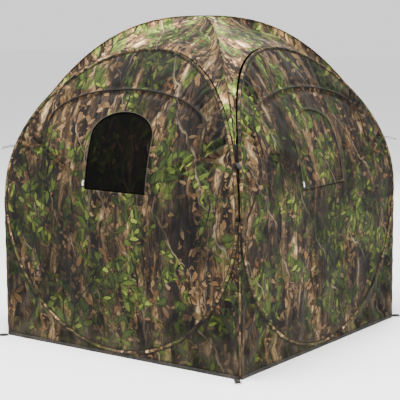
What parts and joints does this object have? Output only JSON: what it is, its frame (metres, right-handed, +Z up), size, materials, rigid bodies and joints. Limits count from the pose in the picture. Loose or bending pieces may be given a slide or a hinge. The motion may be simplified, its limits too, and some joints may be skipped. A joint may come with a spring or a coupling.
{
  "type": "pop-up ground blind",
  "caption": "Square pop-up hide: four hooped fabric walls under a domed roof, with arched zip windows, a crawl door, stake loops and tie-out loops.",
  "frame": {"origin": "on the floor under the middle of the blind", "axes": "+Z up; -Y out of the front wall with the open window; +X out of the right wall"},
  "size_m": [1.5688, 1.6208, 1.69],
  "materials": {
    "camo_fabric": "printed leaf and bark camouflage polyester, matt outside, black coated inside",
    "camo_roof": "printed camouflage polyester, matt, slightly faded by the light on it",
    "camo_binding": "printed camouflage polyester sleeve with a stitched edge",
    "black_webbing": "woven black polyester webbing and zip tape",
    "black_mesh": "fine black polyester net",
    "spring_steel": "oiled spring steel rod",
    "white_plastic": "moulded off-white plastic"
  },
  "bodies": {
    "front_wall_lower": {"front_hoop_lower": "spring_steel", "front_sleeve_lower": "camo_binding", "front_panel_lower": "camo_fabric", "front_gusset_right": "camo_fabric", "front_gusset_left": "camo_fabric", "front_hem": "black_webbing", "stake_loop_near": "black_webbing", "stake_loop_far_left": "black_webbing"},
    "front_wall_upper": {"front_hoop_upper": "spring_steel", "front_sleeve_upper": "camo_binding", "front_panel_upper": "camo_fabric", "front_window_mesh": "black_mesh", "front_window_zip": "black_webbing", "front_window_flap": "camo_fabric", "front_roof_gore": "camo_roof", "tie_loop_near": "black_webbing", "tie_loop_far_left": "black_webbing"},
    "right_wall_lower": {"right_hoop_lower": "spring_steel", "right_sleeve_lower": "camo_binding", "right_panel_lower": "camo_fabric", "right_gusset_right": "camo_fabric", "right_gusset_left": "camo_fabric", "right_hem": "black_webbing"},
    "right_wall_upper": {"right_hoop_upper": "spring_steel", "right_sleeve_upper": "camo_binding", "right_panel_upper": "camo_fabric", "right_window_zip": "black_webbing", "right_roof_gore": "camo_roof"},
    "back_wall_lower": {"back_hoop_lower": "spring_steel", "back_sleeve_lower": "camo_binding", "back_panel_lower": "camo_fabric", "back_gusset_right": "camo_fabric", "back_gusset_left": "camo_fabric", "back_hem": "black_webbing", "stake_loop_far_right": "black_webbing", "stake_loop_far_back": "black_webbing", "door_zip": "black_webbing"},
    "back_wall_upper": {"back_hoop_upper": "spring_steel", "back_sleeve_upper": "camo_binding", "back_panel_upper": "camo_fabric", "back_roof_gore": "camo_roof", "tie_loop_far_right": "black_webbing", "tie_loop_far_back": "black_webbing"},
    "left_wall_lower": {"left_hoop_lower": "spring_steel", "left_sleeve_lower": "camo_binding", "left_panel_lower": "camo_fabric", "left_gusset_right": "camo_fabric", "left_gusset_left": "camo_fabric", "left_hem": "black_webbing"},
    "left_wall_upper": {"left_hoop_upper": "spring_steel", "left_sleeve_upper": "camo_binding", "left_panel_upper": "camo_fabric", "left_window_zip": "black_webbing", "left_roof_gore": "camo_roof"},
    "right_window": {"right_window_flap": "camo_fabric"},
    "left_window": {"left_window_flap": "camo_fabric"},
    "door": {"door_flap": "camo_fabric"},
    "front_window_pull": {"front_window_pull": "white_plastic"},
    "right_window_pull": {"right_window_pull": "white_plastic"},
    "left_window_pull": {"left_window_pull": "white_plastic"}
  },
  "joints": [
    {"name": "fold", "type": "hinge", "parent": "front_wall_lower", "child": "right_wall_lower", "pos_m": [0.748, -0.748, 0.755], "axis": [0, 0, 1], "range_deg": [0, 78], "stiffness_Nm_per_rad": 6},
    {"name": "fold_left_corner", "type": "hinge", "parent": "front_wall_lower", "child": "left_wall_lower", "pos_m": [-0.748, -0.748, 0.755], "axis": [0, 0, 1], "range_deg": [0, 79]},
    {"name": "fold_back_corner", "type": "hinge", "parent": "right_wall_lower", "child": "back_wall_lower", "pos_m": [0.748, 0.748, 0.755], "axis": [0, 0, 1], "range_deg": [-79, 0]},
    {"name": "front_hoop_flatten", "type": "hinge", "parent": "front_wall_lower", "child": "front_wall_upper", "pos_m": [0, -0.756, 0.755], "axis": [1, 0, 0], "range_deg": [0, 20.5], "deforming": ["front_roof_gore"]},
    {"name": "right_hoop_flatten", "type": "hinge", "parent": "right_wall_lower", "child": "right_wall_upper", "pos_m": [0.756, 0, 0.755], "axis": [0, 1, 0], "range_deg": [0, 20.5], "deforming": ["right_roof_gore"]},
    {"name": "back_hoop_flatten", "type": "hinge", "parent": "back_wall_lower", "child": "back_wall_upper", "pos_m": [0, 0.756, 0.755], "axis": [-1, 0, 0], "range_deg": [0, 20.5], "deforming": ["back_roof_gore"]},
    {"name": "left_hoop_flatten", "type": "hinge", "parent": "left_wall_lower", "child": "left_wall_upper", "pos_m": [-0.756, 0, 0.755], "axis": [0, -1, 0], "range_deg": [0, 20.5], "deforming": ["left_roof_gore"]},
    {"name": "right_window_open", "type": "hinge", "parent": "right_wall_upper", "child": "right_window", "pos_m": [0.75092, 0, 0.836], "axis": [0, 1, 0], "range_deg": [-105, 0]},
    {"name": "left_window_open", "type": "hinge", "parent": "left_wall_upper", "child": "left_window", "pos_m": [-0.75092, 0, 0.836], "axis": [0, -1, 0], "range_deg": [-105, 0]},
    {"name": "door_open", "type": "hinge", "parent": "back_wall_lower", "child": "door", "pos_m": [-0.3285, 0.7546, 0.4], "axis": [0, 0, 1], "range_deg": [-100, 0]},
    {"name": "front_window_pull_swing", "type": "hinge", "parent": "front_wall_upper", "child": "front_window_pull", "pos_m": [-0.2, -0.75745, 0.875], "axis": [1, 0, 0], "range_deg": [-100, 0]},
    {"name": "right_window_pull_swing", "type": "hinge", "parent": "right_wall_upper", "child": "right_window_pull", "pos_m": [0.75745, -0.195, 0.875], "axis": [0, 1, 0], "range_deg": [-100, 0]},
    {"name": "left_window_pull_swing", "type": "hinge", "parent": "left_wall_upper", "child": "left_window_pull", "pos_m": [-0.75745, 0.195, 0.875], "axis": [0, -1, 0], "range_deg": [-100, 0]}
  ],
  "couplings": [
    {"joint": "fold_left_corner", "follows": "fold", "ratio": 1},
    {"joint": "fold_back_corner", "follows": "fold", "ratio": -1},
    {"joint": "front_hoop_flatten", "follows": "fold", "ratio": 0.25641},
    {"joint": "right_hoop_flatten", "follows": "fold", "ratio": 0.25641},
    {"joint": "back_hoop_flatten", "follows": "fold", "ratio": 0.25641},
    {"joint": "left_hoop_flatten", "follows": "fold", "ratio": 0.25641}
  ]
}
